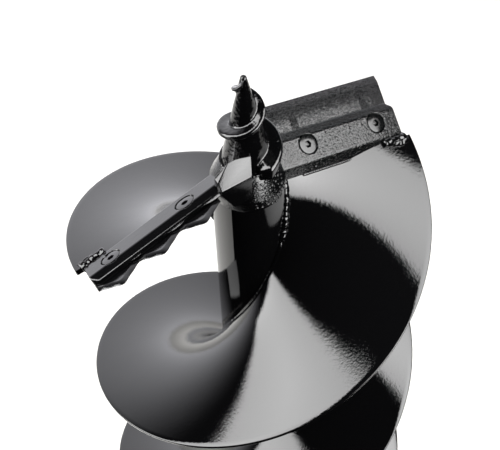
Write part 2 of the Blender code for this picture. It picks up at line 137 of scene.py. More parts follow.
COLLAR_TOP = HEAD_Z + 0.080
COLLAR_TOP_RADIUS = 0.0203
COLLAR_SKIRT_TOP = HEAD_Z + 0.058
COLLAR_RADIUS = 0.030
CORE_TOP = TIP_Z - 0.0022
CORE_TOP_RADIUS = 0.0026
CORE_BASE = COLLAR_TOP + GAP
CORE_BASE_RADIUS = 0.0200
DOWEL_RADIUS = 0.009
DOWEL_LENGTH = 0.02
RIDGE_PITCH = 0.043
RIDGE_TAPER = 0.292
RIDGE_LEVEL_Z = HEAD_Z + 0.094             # where the ridge has this angle and radius
RIDGE_LEVEL_ANGLE = radians(-31)
RIDGE_LEVEL_RADIUS = 0.0280
RIDGE_THICKEST = 0.0085
RIDGE_START = radians(-97)
RIDGE_END = radians(588)
RIDGE_RAMP = radians(16)
RIDGE_SKIRT = 0.009
RIDGE_SKIRT_ARC = radians(80)

GUSSET_FRONT = -0.0244
GUSSET_FRONT_TOP = HEAD_Z + 0.0895
GUSSET_FOOT = (-0.0270, HEAD_Z + 0.062)
GUSSET_LEAN = radians(56.5)

SIDES = (("a", 0.0), ("b", pi))


# ---------------------------------------------------------------- mesh helpers
def new_object(name, mesh):
    obj = bpy.data.objects.new(name, mesh)
    bpy.context.scene.collection.objects.link(obj)
    return obj


def from_faces(name, points, faces):
    mesh = bpy.data.meshes.new(name)
    mesh.from_pydata([tuple(p) for p in points], [], faces)
    tidy_normals(mesh)
    return new_object(name, mesh)


def tidy_normals(mesh, distance=0.000005):
    work = bmesh.new()
    work.from_mesh(mesh)
    bmesh.ops.remove_doubles(work, verts=work.verts, dist=distance)
    bmesh.ops.recalc_face_normals(work, faces=work.faces)
    work.to_mesh(mesh)
    work.free()


def settle(obj):
    """Turn an object's modifiers and place into one plain mesh at the origin."""
    bpy.context.view_layer.update()
    ready = obj.evaluated_get(bpy.context.evaluated_depsgraph_get())
    mesh = bpy.data.meshes.new_from_object(ready)
    mesh.transform(obj.matrix_world)
    obj.modifiers.clear()
    obj.data = mesh
    obj.matrix_world = Matrix()
    return obj


def combine(obj, tool, operation="DIFFERENCE"):
    """Cut the tool out of the object, or join it on, and use the tool up."""
    step = obj.modifiers.new("Cut", "BOOLEAN")
    step.operation = operation
    step.solver = "EXACT"
    step.object = tool
    settle(obj)
    bpy.data.objects.remove(tool, do_unlink=True)


def rounded(obj, width, segments=3, angle=30.0):
    step = obj.modifiers.new("Edges", "BEVEL")
    step.width = width
    step.segments = segments
    step.limit_method = "ANGLE"
    step.angle_limit = radians(angle)
    step.harden_normals = False
    return settle(obj)


def soften(outline, radius, steps=4, closed=True):
    """Round every corner of an outline with an arc-like fillet."""
    made = []
    count = len(outline)
    for i, here in enumerate(outline):
        here = Vector(here)
        if not closed and i in (0, count - 1):
            made.append(tuple(here))
            continue
        before = Vector(outline[i - 1]) - here
        after = Vector(outline[(i + 1) % count]) - here
        reach = min(radius, before.length * 0.45, after.length * 0.45)
        start = here + before.normalized() * reach
        end = here + after.normalized() * reach
        for k in range(steps + 1):
            t = k / steps
            made.append(tuple(start * (1 - t) ** 2 + here * 2 * t * (1 - t) + end * t * t))
    return made


def turned(name, profile, steps=128, place=Matrix(), corner=0.0006):
    """Turn an open profile of (radius, height) points, from axis to axis, round local Z."""
    outline = soften(profile, corner, 3, closed=False)
    points = []
    rings = []
    for radius, height in outline:
        if radius < 1e-6:
            rings.append([len(points)])
            points.append(place @ Vector((0, 0, height)))
            continue
        rings.append(list(range(len(points), len(points) + steps)))
        for i in range(steps):
            angle = 2 * pi * i / steps
            points.append(place @ Vector((radius * cos(angle), radius * sin(angle), height)))
    faces = []
    for lower, upper in zip(rings, rings[1:]):
        for i in range(steps):
            j = (i + 1) % steps
            below = [lower[i % len(lower)], lower[j % len(lower)]]
            above = [upper[j % len(upper)], upper[i % len(upper)]]
            face = list(dict.fromkeys(below + above))
            if len(face) > 2:
                faces.append(face)
    return from_faces(name, points, faces)


def plug(name, radius, top, bottom, steps, place=Matrix(), corner=0.0001):
    """A solid cylinder, mostly used to cut a hole."""
    profile = [(0, top), (radius, top), (radius, bottom), (0, bottom)]
    return turned(name, profile, steps, place, corner)


def lofted(name, sections, place=Matrix()):
    """Join sections of equal point count into one closed skin."""
    count = len(sections[0])
    points = [place @ Vector(p) for section in sections for p in section]
    faces = []
    for s in range(len(sections) - 1):
        for i in range(count):
            j = (i + 1) % count
            low, high = s * count, (s + 1) * count
            faces.append([low + i, low + j, high + j, high + i])
    last = (len(sections) - 1) * count
    faces.append(list(range(count)))
    faces.append([last + i for i in reversed(range(count))])
    return from_faces(name, points, faces)


def prism(name, section, start, end, place=Matrix()):
    """A bar of one (y, z) section, running along X."""
    return lofted(name, [[(x, y, z) for y, z in section] for x in (start, end)], place)


def block(name, low, high, place=Matrix()):
    section = [(low[1], low[2]), (high[1], low[2]), (high[1], high[2]), (low[1], high[2])]
    return prism(name, section, low[0], high[0], place)


def smooth(obj, angle=32.0):
    obj.data.shade_smooth()
    obj.data.set_sharp_from_angle(angle=radians(angle))


def finished(obj, name, material, slot, *nodes, body="auger", angle=32.0):
    """Name a piece, give it its finish, and set it riding in place of its CAD nodes."""
    obj.name = name
    obj.data.name = name
    obj.data.materials.clear()
    obj.data.materials.append(material)
    for face in obj.data.polygons:
        face.material_index = 0
    smooth(obj, angle)
    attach(obj, body)
    if nodes:
        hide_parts(*nodes)


# ---------------------------------------------------------------- geometry node recipes
class Recipe:
    """A geometry node tree being written, with named inputs for its sizes."""

    SOCKETS = {float: "NodeSocketFloat", int: "NodeSocketInt", type(None): "NodeSocketObject"}

    def __init__(self, name, **inputs):
        self.tree = bpy.data.node_groups.new(name, "GeometryNodeTree")
        face = self.tree.interface
        face.new_socket("Geometry", in_out="INPUT", socket_type="NodeSocketGeometry")
        face.new_socket("Material", in_out="INPUT", socket_type="NodeSocketMaterial")
        face.new_socket("Geometry", in_out="OUTPUT", socket_type="NodeSocketGeometry")
        for label, value in inputs.items():
            made = face.new_socket(label, in_out="INPUT", socket_type=self.SOCKETS[type(value)])
            if value is not None:
                made.default_value = value
        self.given = self.tree.nodes.new("NodeGroupInput").outputs

    def node(self, kind, inputs=(), **settings):
        made = self.tree.nodes.new(kind)
        for key, value in settings.items():
            setattr(made, key, value)
        for key, value in dict(inputs).items():
            self.feed(made.inputs[key], value)
        return made

    def feed(self, socket, value):
        if isinstance(value, bpy.types.NodeSocket):
            self.tree.links.new(value, socket)
        else:
            socket.default_value = value

    def math(self, operation, first, second=0.0):
        made = self.node("ShaderNodeMath", {0: first, 1: second}, operation=operation)
        return made.outputs[0]

    def noise(self, scale, detail):
        """Noise of one size, different for each Seed that the recipe is given."""
        inputs = {"W": self.given["Seed"], "Scale": scale, "Detail": detail}
        return self.node("ShaderNodeTexNoise", inputs, noise_dimensions="4D").outputs[0]

    def along_normal(self, lift):
        """A push of this length along the surface's normal."""
        inputs = {0: self.node("GeometryNodeInputNormal").outputs[0], "Scale": lift}
        return self.node("ShaderNodeVectorMath", inputs, operation="SCALE").outputs[0]

    def finish(self, geometry):
        """End the tree in Realize Instances and Set Material."""
        real = self.node("GeometryNodeRealizeInstances", {"Geometry": geometry}).outputs[0]
        inputs = {"Geometry": real, "Material": self.given["Material"]}
        coated = self.node("GeometryNodeSetMaterial", inputs)
        self.tree.links.new(coated.outputs[0], self.tree.nodes.new("NodeGroupOutput").inputs[0])
        return self.tree


def run_recipe(obj, tree, material, **values):
    """Run a recipe on an object and leave its result as a plain mesh."""
    step = obj.modifiers.new(tree.name, "NODES")
    step.node_group = tree
    values["Material"] = material
    for item in tree.interface.items_tree:
        if item.in_out == "INPUT" and item.name in values:
            step[item.identifier] = values[item.name]
    settle(obj)
    tidy_normals(obj.data, 0.000001)
    return obj


def leaf_recipe():
    """A dished helical leaf: a grid whose points follow the helix rule."""
    r = Recipe(
        "helical_leaf", Start=0.0, End=0.0, Root=0.0268, Rim=0.15, Rise=0.06, Dish=0.02,
        Lead=0.0, Turn=0.0, Along=230, Across=26,
    )
    g = r.given
    grid = r.node("GeometryNodeMeshGrid", {
        "Size X": 1.0, "Size Y": 1.0, "Vertices X": g["Along"], "Vertices Y": g["Across"],
    })
    place = r.node("ShaderNodeSeparateXYZ", {0: r.node("GeometryNodeInputPosition").outputs[0]})
    along = r.math("ADD", place.outputs[0], 0.5)
    across = r.math("ADD", place.outputs[1], 0.5)
    sweep = r.math("SUBTRACT", g["End"], g["Start"])
    width = r.math("SUBTRACT", g["Rim"], g["Root"])
    angle = r.math("ADD", g["Start"], r.math("MULTIPLY", along, sweep))
    radius = r.math("ADD", g["Root"], r.math("MULTIPLY", across, width))
    inward = r.math("SUBTRACT", g["Rim"], radius)
    height = r.math("ADD", g["Lead"], r.math("MULTIPLY", angle, g["Rise"]))
    height = r.math("ADD", height, r.math("MULTIPLY", inward, g["Dish"]))
    facing = r.math("ADD", angle, g["Turn"])
    spot = r.node("ShaderNodeCombineXYZ", {
        0: r.math("MULTIPLY", radius, r.math("COSINE", facing)),
        1: r.math("MULTIPLY", radius, r.math("SINE", facing)),
        2: height,
    })
    moved = r.node("GeometryNodeSetPosition", {
        "Geometry": grid.outputs[0], "Position": spot.outputs[0],
    })
    return r.finish(moved.outputs[0])


def bead_recipe():
    """A rippled weld bead laid along the edges of the mesh it is given."""
    r = Recipe(
        "weld_bead", Width=0.0025, Ripple=0.0022, Depth=0.16, Lumps=0.0005, Seed=1.0,
        Step=0.0006, Sides=16,
    )
    g = r.given
    path = r.node("GeometryNodeMeshToCurve", {"Mesh": g["Geometry"]}).outputs[0]
    spaced = {"Curve": path, "Length": g["Step"]}
    path = r.node("GeometryNodeResampleCurve", spaced, mode="LENGTH").outputs[0]
    run = r.node("GeometryNodeSplineParameter").outputs
    wave = r.math("FRACT", r.math("DIVIDE", run["Length"], g["Ripple"]))
    wave = r.math("SUBTRACT", 1.0, r.math("MULTIPLY", g["Depth"], wave))
    ends = r.math("MULTIPLY", run["Factor"], r.math("SUBTRACT", 1.0, run["Factor"]))
    ends = r.math("ADD", r.math("MULTIPLY", ends, 60.0), 0.02)
    ends = r.math("POWER", r.math("MINIMUM", ends, 1.0), 0.5)
    size = r.math("MULTIPLY", wave, ends)
    ring = r.node("GeometryNodeCurvePrimitiveCircle", {
        "Resolution": g["Sides"], "Radius": g["Width"],
    })
    tube = r.node("GeometryNodeCurveToMesh", {
        "Curve": path, "Profile Curve": ring.outputs[0], "Scale": size, "Fill Caps": True,
    })
    push = r.math("MULTIPLY", r.math("SUBTRACT", r.noise(260.0, 2.0), 0.5), g["Lumps"])
    lumpy = r.node("GeometryNodeSetPosition", {
        "Geometry": tube.outputs[0], "Offset": r.along_normal(push),
    })
    return r.finish(lumpy.outputs[0])


def spatter_recipe():
    """Droplets of weld spatter scattered over the patch it is given."""
    r = Recipe(
        "weld_spatter", Density=90000.0, Spacing=0.0012, Smallest=0.3, Largest=1.0,
        Size=0.0012, Seed=3,
    )
    g = r.given
    spots = r.node("GeometryNodeDistributePointsOnFaces", {
        "Mesh": g["Geometry"], "Distance Min": g["Spacing"], "Density Max": g["Density"],
        "Seed": g["Seed"],
    }, distribute_method="POISSON")
    drop = r.node("GeometryNodeMeshIcoSphere", {"Radius": g["Size"], "Subdivisions": 2}).outputs[0]
    size = r.node("FunctionNodeRandomValue", {"Min": 0.0}, data_type="FLOAT")
    r.feed(size.inputs[2], g["Smallest"])
    r.feed(size.inputs[3], g["Largest"])
    r.feed(size.inputs["Seed"], g["Seed"])
    flat = r.node("ShaderNodeCombineXYZ", {
        0: size.outputs[1],
        1: r.math("MULTIPLY", size.outputs[1], 0.8),
        2: r.math("MULTIPLY", size.outputs[1], 0.55),
    })
    drops = r.node("GeometryNodeInstanceOnPoints", {
        "Points": spots.outputs["Points"], "Instance": drop, "Rotation": spots.outputs["Rotation"],
        "Scale": flat.outputs[0],
    })
    return r.finish(drops.outputs[0])


def set_out_recipe():
    """One fastener set out at each point it is given, turned to each point's own angles."""
    r = Recipe("fasteners", Fastener=None)
    angles = r.node("GeometryNodeInputNamedAttribute", {"Name": "angles"}, data_type="FLOAT_VECTOR")
    turn = r.node("FunctionNodeEulerToRotation", {0: angles.outputs[0]}).outputs[0]
    shape = r.node("GeometryNodeObjectInfo", {"Object": r.given["Fastener"]}).outputs["Geometry"]
    points = r.node("GeometryNodeInstanceOnPoints", {
        "Points": r.given["Geometry"], "Instance": shape, "Rotation": turn,
    })
    return r.finish(points.outputs[0])


def pitted_recipe():
    """Small pits and hammered swells raised on a surface along its normals."""
    r = Recipe("pitted_skin", Swell=0.0001, Pit=0.0002, Seed=1.0)
    g = r.given
    swell = r.noise(260.0, 3.0)
    sunk = r.math("MINIMUM", r.math("SUBTRACT", r.noise(620.0, 1.0), 0.40), 0.0)
    lift = r.math("MULTIPLY", r.math("SUBTRACT", swell, 0.5), g["Swell"])
    lift = r.math("ADD", lift, r.math("MULTIPLY", r.math("MULTIPLY", sunk, 12.0), g["Pit"]))
    moved = r.node("GeometryNodeSetPosition", {
        "Geometry": g["Geometry"], "Offset": r.along_normal(lift),
    })
    return r.finish(moved.outputs[0])


LEAF = leaf_recipe()
BEAD = bead_recipe()
SPATTER = spatter_recipe()
SET_OUT = set_out_recipe()
PITTED = pitted_recipe()


# ---------------------------------------------------------------- finishes
def map_range(nodes, links, value, given, wanted):
    """Stretch a value from the given range to the wanted one."""
    made = nodes.new("ShaderNodeMapRange")
    links.new(value, made.inputs["Value"])
    for key, number in zip(("From Min", "From Max", "To Min", "To Max"), (*given, *wanted)):
        made.inputs[key].default_value = number
    return made


class Finish:
    """A Principled material being written, with bump built up layer by layer."""

    def __init__(self, name, colour, roughness, metallic=0.0, level=0.5):
        self.material = bpy.data.materials.new(name)
        self.material.use_nodes = True
        self.nodes = self.material.node_tree.nodes
        self.links = self.material.node_tree.links
        self.shader = self.nodes["Principled BSDF"]
        self.shader.inputs["Base Color"].default_value = (*colour, 1.0)
        self.shader.inputs["Roughness"].default_value = roughness
        self.shader.inputs["Metallic"].default_value = metallic
        self.shader.inputs["Specular IOR Level"].default_value = level
        self.place = self.nodes.new("ShaderNodeTexCoord").outputs["Object"]
        self.bumped = None

    def noise(self, scale, detail=2.0, roughness=0.5):
        made = self.nodes.new("ShaderNodeTexNoise")
        made.inputs["Scale"].default_value = scale
        made.inputs["Detail"].default_value = detail
        made.inputs["Roughness"].default_value = roughness
        self.links.new(self.place, made.inputs["Vector"])
        return made.outputs["Fac"]

    def ranged(self, value, low, high, to_low, to_high):
        return map_range(self.nodes, self.links, value, (low, high), (to_low, to_high)).outputs[0]

    def bump(self, height, depth):
        """Add a bump layer whose full height is this many metres."""
        made = self.nodes.new("ShaderNodeBump")
        made.inputs["Distance"].default_value = depth
        self.links.new(height, made.inputs["Height"])
        if self.bumped is not None:
            self.links.new(self.bumped, made.inputs["Normal"])
        self.bumped = made.outputs[0]
        self.links.new(self.bumped, self.shader.inputs["Normal"])

    def rough(self, value):
        self.links.new(value, self.shader.inputs["Roughness"])

    def tint(self, factor, dark, light):
        made = self.nodes.new("ShaderNodeMix")
        made.data_type = "RGBA"
        self.links.new(factor, made.inputs["Factor"])
        made.inputs[6].default_value = (*dark, 1.0)
        made.inputs[7].default_value = (*light, 1.0)
        self.links.new(made.outputs[2], self.shader.inputs["Base Color"])


def gloss_paint(name, roughness, ripple, fine):
    """Poured-looking black enamel: long soft waves, a fine tooth, and faint dust dulling."""
    coat = Finish(name, (0.001, 0.001, 0.0011), roughness)
    coat.bump(coat.noise(34.0, 1.0), ripple)
    coat.bump(coat.noise(480.0, 3.0, 0.65), fine)
    dull = coat.noise(60.0, 4.0, 0.6)
    coat.rough(coat.ranged(dull, 0.35, 0.75, roughness * 0.7, roughness * 1.6))
    coat.tint(coat.noise(900.0, 1.0), (0.0006, 0.0006, 0.0007), (0.0012, 0.0012, 0.0013))
    return coat.material


def forged_coat(name, roughness, pit, grain):
    """Black coat over forged steel: hammered swells, sharp pits, and a slight sparkle."""
    coat = Finish(name, (0.0015, 0.0015, 0.0016), roughness)
    coat.bump(coat.noise(380.0, 3.0, 0.55), pit)
    pits = coat.noise(1100.0, 1.0)
    coat.bump(coat.ranged(pits, 0.30, 0.50, 0.0, 1.0), grain)
    coat.rough(coat.ranged(coat.noise(500.0, 2.0), 0.3, 0.7, roughness * 0.75, roughness * 1.3))
    coat.tint(coat.noise(700.0, 2.0), (0.0006, 0.0006, 0.0007), (0.0024, 0.0024, 0.0026))
    return coat.material


def zinc(name):
    plate = Finish(name, (0.55, 0.55, 0.57), 0.3, 1.0)
    plate.bump(plate.noise(900.0, 3.0), 0.00001)
    plate.rough(plate.ranged(plate.noise(180.0, 4.0), 0.3, 0.7, 0.22, 0.42))
    plate.tint(plate.noise(90.0, 3.0), (0.44, 0.44, 0.46), (0.62, 0.62, 0.63))
    return plate.material


FLIGHT_PAINT = gloss_paint("flight_enamel", roughness=0.03, ripple=0.00010, fine=0.00006)
TUBE_PAINT = gloss_paint("tube_enamel", roughness=0.05, ripple=0.00001, fine=0.0000012)
CAST_PAINT = gloss_paint("pilot_enamel", roughness=0.08, ripple=0.00045, fine=0.00006)
COLLAR_PAINT = gloss_paint("collar_enamel", roughness=0.07, ripple=0.0022, fine=0.0004)
GUSSET_PAINT = gloss_paint("gusset_enamel", roughness=0.12, ripple=0.00010, fine=0.00010)
SOCKET_PAINT = gloss_paint("socket_enamel", roughness=0.08, ripple=0.00002, fine=0.000003)
WELD_PAINT = gloss_paint("weld_enamel", roughness=0.07, ripple=0.00008, fine=0.00003)
HOLDER_A_COAT = forged_coat("hammered_holder_coat", roughness=0.06, pit=0.000015, grain=0.00010)
HOLDER_B_COAT = forged_coat("smooth_holder_coat", roughness=0.08, pit=0.00002, grain=0.00001)
STRAIGHT_BLADE_COAT = forged_coat("pitted_blade_coat", roughness=0.07, pit=0.00010, grain=0.00080)
TOOTHED_BLADE_COAT = forged_coat("toothed_blade_coat", roughness=0.06, pit=0.00002, grain=0.00002)
SCREW_COAT = forged_coat("screw_coat", roughness=0.12, pit=0.000006, grain=0.000002)
ZINC = zinc("zinc_plate_finish")


# ---------------------------------------------------------------- frames of reference
def bar_place(turn):
    """The holder's own frame: X outwards along the bar, Y to its leading edge, Z off its face."""
    lean = Matrix.Rotation(BAR_SLOPE, 4, "Y") @ Matrix.Rotation(BAR_TILT, 4, "X")
    return Matrix.Rotation(turn, 4, "Z") @ Matrix.Translation(BAR_ORIGIN) @ lean


def helix_point(angle, radius, turn, lift):
    inward = (FLIGHT_RADIUS - radius) / (FLIGHT_RADIUS - TUBE_RADIUS)
    height = FLIGHT_LEAD_Z + RISE * angle + FLIGHT_DISH * inward
    return Vector((radius * cos(angle + turn), radius * sin(angle + turn), height + lift))


def collar_skin(grow):
    """The collar's outside and the tube below it, as a cutter for what butts against them."""
    return turned("collar_skin", [
        (0.0, COLLAR_TOP + 0.004),
        (COLLAR_TOP_RADIUS + grow - 0.0015, COLLAR_TOP + 0.004),
        (COLLAR_TOP_RADIUS + grow, COLLAR_TOP),
        (COLLAR_RADIUS + grow, COLLAR_SKIRT_TOP),
        (COLLAR_RADIUS + grow, TUBE_TOP),
        (TUBE_RADIUS + grow, TUBE_TOP),
        (TUBE_RADIUS + grow, TUBE_BOTTOM),
        (0.0, TUBE_BOTTOM),
    ], 96, corner=0.0001)


# ---------------------------------------------------------------- shaft and drive end
def make_shaft():
    tube = plug("tube", TUBE_RADIUS, TUBE_TOP, TUBE_BOTTOM, 160, corner=0.0006)
    bore = plug("bore", TUBE_RADIUS - TUBE_WALL, TUBE_TOP + 0.01, TUBE_BOTTOM - 0.01, 160)
    combine(tube, bore)
    finished(tube, "shaft_tube", TUBE_PAINT, "gloss_black_paint", "tube")

    socket = turned("socket", [
        (0.0, SOCKET_SHOULDER + SPIGOT_LENGTH),
        (SPIGOT_RADIUS, SOCKET_SHOULDER + SPIGOT_LENGTH),
        (SPIGOT_RADIUS, SOCKET_SHOULDER),
        (TUBE_RADIUS, SOCKET_SHOULDER),
        (SOCKET_RADIUS, SOCKET_LENGTH),
        (SOCKET_RADIUS, 0.0015),
        (SOCKET_RADIUS - 0.0015, 0.0),
        (SOCKET_BORE + 0.0015, 0.0),
        (SOCKET_BORE, 0.0015),
        (SOCKET_BORE, SOCKET_DEPTH),
        (0.0, SOCKET_DEPTH),
    ], 128)
    across = Matrix.Translation((0, 0, PIN_Z)) @ Matrix.Rotation(pi / 2, 4, "Y")
    combine(socket, plug("cross_hole", CROSS_HOLE_RADIUS, 0.06, -0.06, 48, across))
    finished(socket, "socket_body", SOCKET_PAINT, "gloss_black_paint", "drive_socket")

    seat = -SOCKET_RADIUS - GAP
    pin = turned("pin", [
        (0.0, PIN_END), (PIN_RADIUS - 0.0015, PIN_END), (PIN_RADIUS, PIN_END - 0.0015),
        (PIN_RADIUS, seat), (PIN_HEAD, seat), (PIN_HEAD, seat - 0.007),
        (PIN_HEAD - 0.001, seat - 0.008), (0.0, seat - 0.008),
    ], 64, across, 0.0004)
    cross = Matrix.Translation((CLIP_X, 0, PIN_Z)) @ Matrix.Rotation(pi / 2, 4, "X")
    combine(pin, plug("clip_hole", WIRE_RADIUS + 0.0004, 0.02, -0.02, 24, cross))
    finished(pin, "socket_pin", ZINC, "zinc_plate", "coupling_pin", body="pin")


def make_clip():
    """The wire clip: a straight leg through the pin, an end loop, and a sprung leg over it."""
    loop_y, loop = -0.018, 0.0056
    path = [(0.022, 0.0), (0.0, 0.0), (loop_y, 0.0)]
    for i in range(1, 24):
        angle = -pi / 2 - pi * i / 24
        path.append((loop_y + loop * cos(angle), loop * (1 + sin(angle))))
    path += [(loop_y, 2 * loop), (-0.013, 0.0108)]
    for i in range(-10, 11):
        path.append((0.001 * i, 0.0113 + 0.0012 * cos(pi * i / 10)))
    path += [(0.014, 0.0110), (0.0175, 0.0128), (0.0205, 0.0150)]
    curve = bpy.data.curves.new("clip", "CURVE")
    curve.dimensions = "3D"
    curve.bevel_depth = WIRE_RADIUS
    curve.bevel_resolution = 4
    curve.use_fill_caps = True
    spline = curve.splines.new("POLY")
    spline.points.add(len(path) - 1)
    for point, (y, z) in zip(spline.points, path):
        point.co = (CLIP_X, y, PIN_Z + z, 1.0)
    wire = bpy.data.objects.new("clip", curve)
    bpy.context.scene.collection.objects.link(wire)
    bpy.context.view_layer.update()
    ready = wire.evaluated_get(bpy.context.evaluated_depsgraph_get())
    mesh = bpy.data.meshes.new_from_object(ready)
    bpy.data.objects.remove(wire, do_unlink=True)
    tidy_normals(mesh)
    clip = rounded(new_object("clip", mesh), 0.0003, 2, 50)
    finished(clip, "wire_clip", ZINC, "zinc_plate", "spring_clip", body="clip", angle=50)


# ---------------------------------------------------------------- pilot
def core_radius(height):
    share = (height - CORE_BASE) / (CORE_TOP - CORE_BASE)
    return CORE_BASE_RADIUS + (CORE_TOP_RADIUS - CORE_BASE_RADIUS) * share


def ridge_section(angle):
    """The ridge cut at one angle: it ramps up from its start, where a skirt hangs below it."""
    height = RIDGE_LEVEL_Z + RIDGE_PITCH * (angle - RIDGE_LEVEL_ANGLE) / (2 * pi)
    outer = RIDGE_LEVEL_RADIUS - RIDGE_TAPER * (height - RIDGE_LEVEL_Z)
    core = core_radius(height)
    ramp = min(1.0, 0.35 + 0.65 * (angle - RIDGE_START) / RIDGE_RAMP)
    outer = core + (outer - core) * ramp
    reach = outer - core
    thick = min(RIDGE_THICKEST, 0.0022 + 0.55 * reach)
    skirt = RIDGE_SKIRT * max(0.0, 1 - (angle - RIDGE_START) / RIDGE_SKIRT_ARC) ** 1.5
    outline = soften([
        (core * 0.75, height + 0.55 * thick),
        (outer - 0.20 * thick, height + 0.42 * thick),
        (outer, height + 0.15 * thick),
        (outer - 0.05 * thick - 0.1 * skirt, height - 0.40 * thick - skirt),
        (core + 0.25 * reach, height - 0.75 * thick - skirt),
        (core * 0.75, max(height - 1.35 * thick, COLLAR_TOP + 0.0006)),
    ], 0.0014, 3)
    return [(radius * cos(angle), radius * sin(angle), z) for radius, z in outline]


def make_pilot():
    profile = [(0.0, TIP_Z)]
    for i in range(1, 7):
        angle = i * pi / 12
        profile.append((CORE_TOP_RADIUS * sin(angle), CORE_TOP + 0.0022 * cos(angle)))
    foot = CORE_BASE - DOWEL_LENGTH
    profile += [
        (CORE_BASE_RADIUS, CORE_BASE), (DOWEL_RADIUS, CORE_BASE), (DOWEL_RADIUS, foot), (0.0, foot),
    ]
    pilot = turned("pilot", profile, 96, corner=0.0003)
    count = 220
    angles = [RIDGE_START + (RIDGE_END - RIDGE_START) * i / count for i in range(count + 1)]
    combine(pilot, lofted("ridge", [ridge_section(angle) for angle in angles]), "UNION")
    skin = pilot.modifiers.new("Skin", "REMESH")
    skin.mode = "VOXEL"
    skin.voxel_size = 0.0006
    ease = pilot.modifiers.new("Ease", "SMOOTH")
    ease.factor = 0.5
    ease.iterations = 8
    settle(pilot)
    smooth(pilot, 180)
    run_recipe(pilot, PITTED, CAST_PAINT, Swell=0.0005, Pit=0.0, Seed=7.0)
    finished(pilot, "pilot_point", CAST_PAINT, "gloss_black_paint", "pilot_screw", angle=180)

    collar = turned("collar", [
        (0.0, COLLAR_TOP), (COLLAR_TOP_RADIUS, COLLAR_TOP), (COLLAR_RADIUS, COLLAR_SKIRT_TOP),
        (COLLAR_RADIUS, TUBE_TOP + GAP), (SPIGOT_RADIUS, TUBE_TOP + GAP),
        (SPIGOT_RADIUS, TUBE_TOP - SPIGOT_LENGTH), (0.0, TUBE_TOP - SPIGOT_LENGTH),
    ], 160, corner=0.0012)
    combine(collar, plug("seat", DOWEL_RADIUS + GAP, COLLAR_TOP + 0.01, COLLAR_TOP - 0.021, 64))
    finished(collar, "collar_body", COLLAR_PAINT, "gloss_black_paint", "pilot_collar")


# ---------------------------------------------------------------- cutting head
def screw_places(turn):
    return [bar_place(turn) @ Matrix.Translation((side * SCREW_SPREAD, 0, 0)) for side in (-1, 1)]


def hole_tool(place):
    top, rim = 0.002, -SCREW_RECESS - SCREW_RIM
    neck = rim - (SINK_RADIUS - HOLE_RADIUS)
    return turned("hole", [
        (0, top), (SINK_RADIUS, top), (SINK_RADIUS, rim), (HOLE_RADIUS, neck), (HOLE_RADIUS, -0.03),
        (0, -0.03),
    ], 48, place, 0.0001)


def local_hole(side):
    return hole_tool(Matrix.Translation((side * SCREW_SPREAD, 0, 0)))


def make_holder(letter, turn, coat, swell, pit):
    """The bar is shaped in its own frame, skinned, pitted, and only then put in place."""
    section = [
        (BAR_TRAIL, 0),
        (BAR_TRAIL - BAR_BACK_SLOPE, -BAR_THICKNESS),
        (BAR_LEAD, -BAR_THICKNESS),
        (BAR_LEAD, -BAR_CHAMFER),
        (BAR_FACE_EDGE, 0),
    ]
    bar = prism("bar", section, BAR_INNER, BAR_OUTER)
    corner = Matrix.Translation((BAR_OUTER, BAR_LEAD, 0)) @ Matrix.Rotation(pi / 4, 4, "Z")
    half = BAR_CORNER_CLIP * cos(pi / 4)
    combine(bar, block("clip", (-half, -0.02, -0.03), (0.02, 0.02, 0.03), corner))
    rounded(bar, 0.0009, 4, 25)
    for side in (-1, 1):
        combine(bar, local_hole(side))
    skin = bar.modifiers.new("Skin", "REMESH")
    skin.mode = "VOXEL"
    skin.voxel_size = 0.00055
    settle(bar)
    smooth(bar, 180)
    run_recipe(bar, PITTED, coat, Swell=swell, Pit=pit, Seed=1.0 + turn)
    bar.matrix_world = bar_place(turn)
    settle(bar)
    combine(bar, collar_skin(-0.0002))
    node = "blade_holder_" + letter
    finished(bar, "holder_bar_" + letter, coat, "textured_black_coat", node, angle=60)


def tooth_reach(x):
    phase = 2 * pi * TOOTH_COUNT * (x + BLADE_HALF) / (2 * BLADE_HALF)
    wave = 0.5 - 0.5 * (0.90 * cos(phase) + 0.10 * cos(3 * phase))
    return TOOTH_REACH - TOOTH_DEPTH * (1 - wave)


def straight_reach(x):
    return STRAIGHT_REACH


def blade_section(x, reach):
    bottom = BLADE_TOP - BLADE_THICKNESS
    ys = [BLADE_TRAIL, reach - BLADE_TOP_BEVEL, reach, reach - BLADE_BOTTOM_BEVEL, BLADE_TRAIL]
    zs = [BLADE_TOP, BLADE_TOP, BLADE_TOP - BLADE_EDGE_DROP, bottom, bottom]
    outline = soften(list(zip(ys, zs)), 0.0004, 2)
    return [(x, y, z) for y, z in outline]


def make_blade(name, turn, reach, slices, node, coat):
    stations = [-BLADE_HALF + 2 * BLADE_HALF * i / slices for i in range(slices + 1)]
    blade = lofted("blade", [blade_section(x, reach(x)) for x in stations])
    for side in (-1, 1):
        combine(blade, local_hole(side))
    blade.matrix_world = bar_place(turn)
    settle(blade)
    finished(blade, name, coat, "textured_black_coat", node, angle=20)


def set_out(name, fastener, spots, coat, slot, nodes):
    """Put one fastener at each of these places, as a single piece."""
    mesh = bpy.data.meshes.new(name)
    mesh.from_pydata([place.to_translation() for place in spots], [], [])
    angles = mesh.attributes.new("angles", "FLOAT_VECTOR", "POINT")
    for item, place in zip(angles.data, spots):
        item.vector = place.to_euler("XYZ")
    run = run_recipe(new_object(name, mesh), SET_OUT, coat, Fastener=fastener)
    bpy.data.objects.remove(fastener, do_unlink=True)
    finished(run, name, coat, slot, *nodes, angle=35)


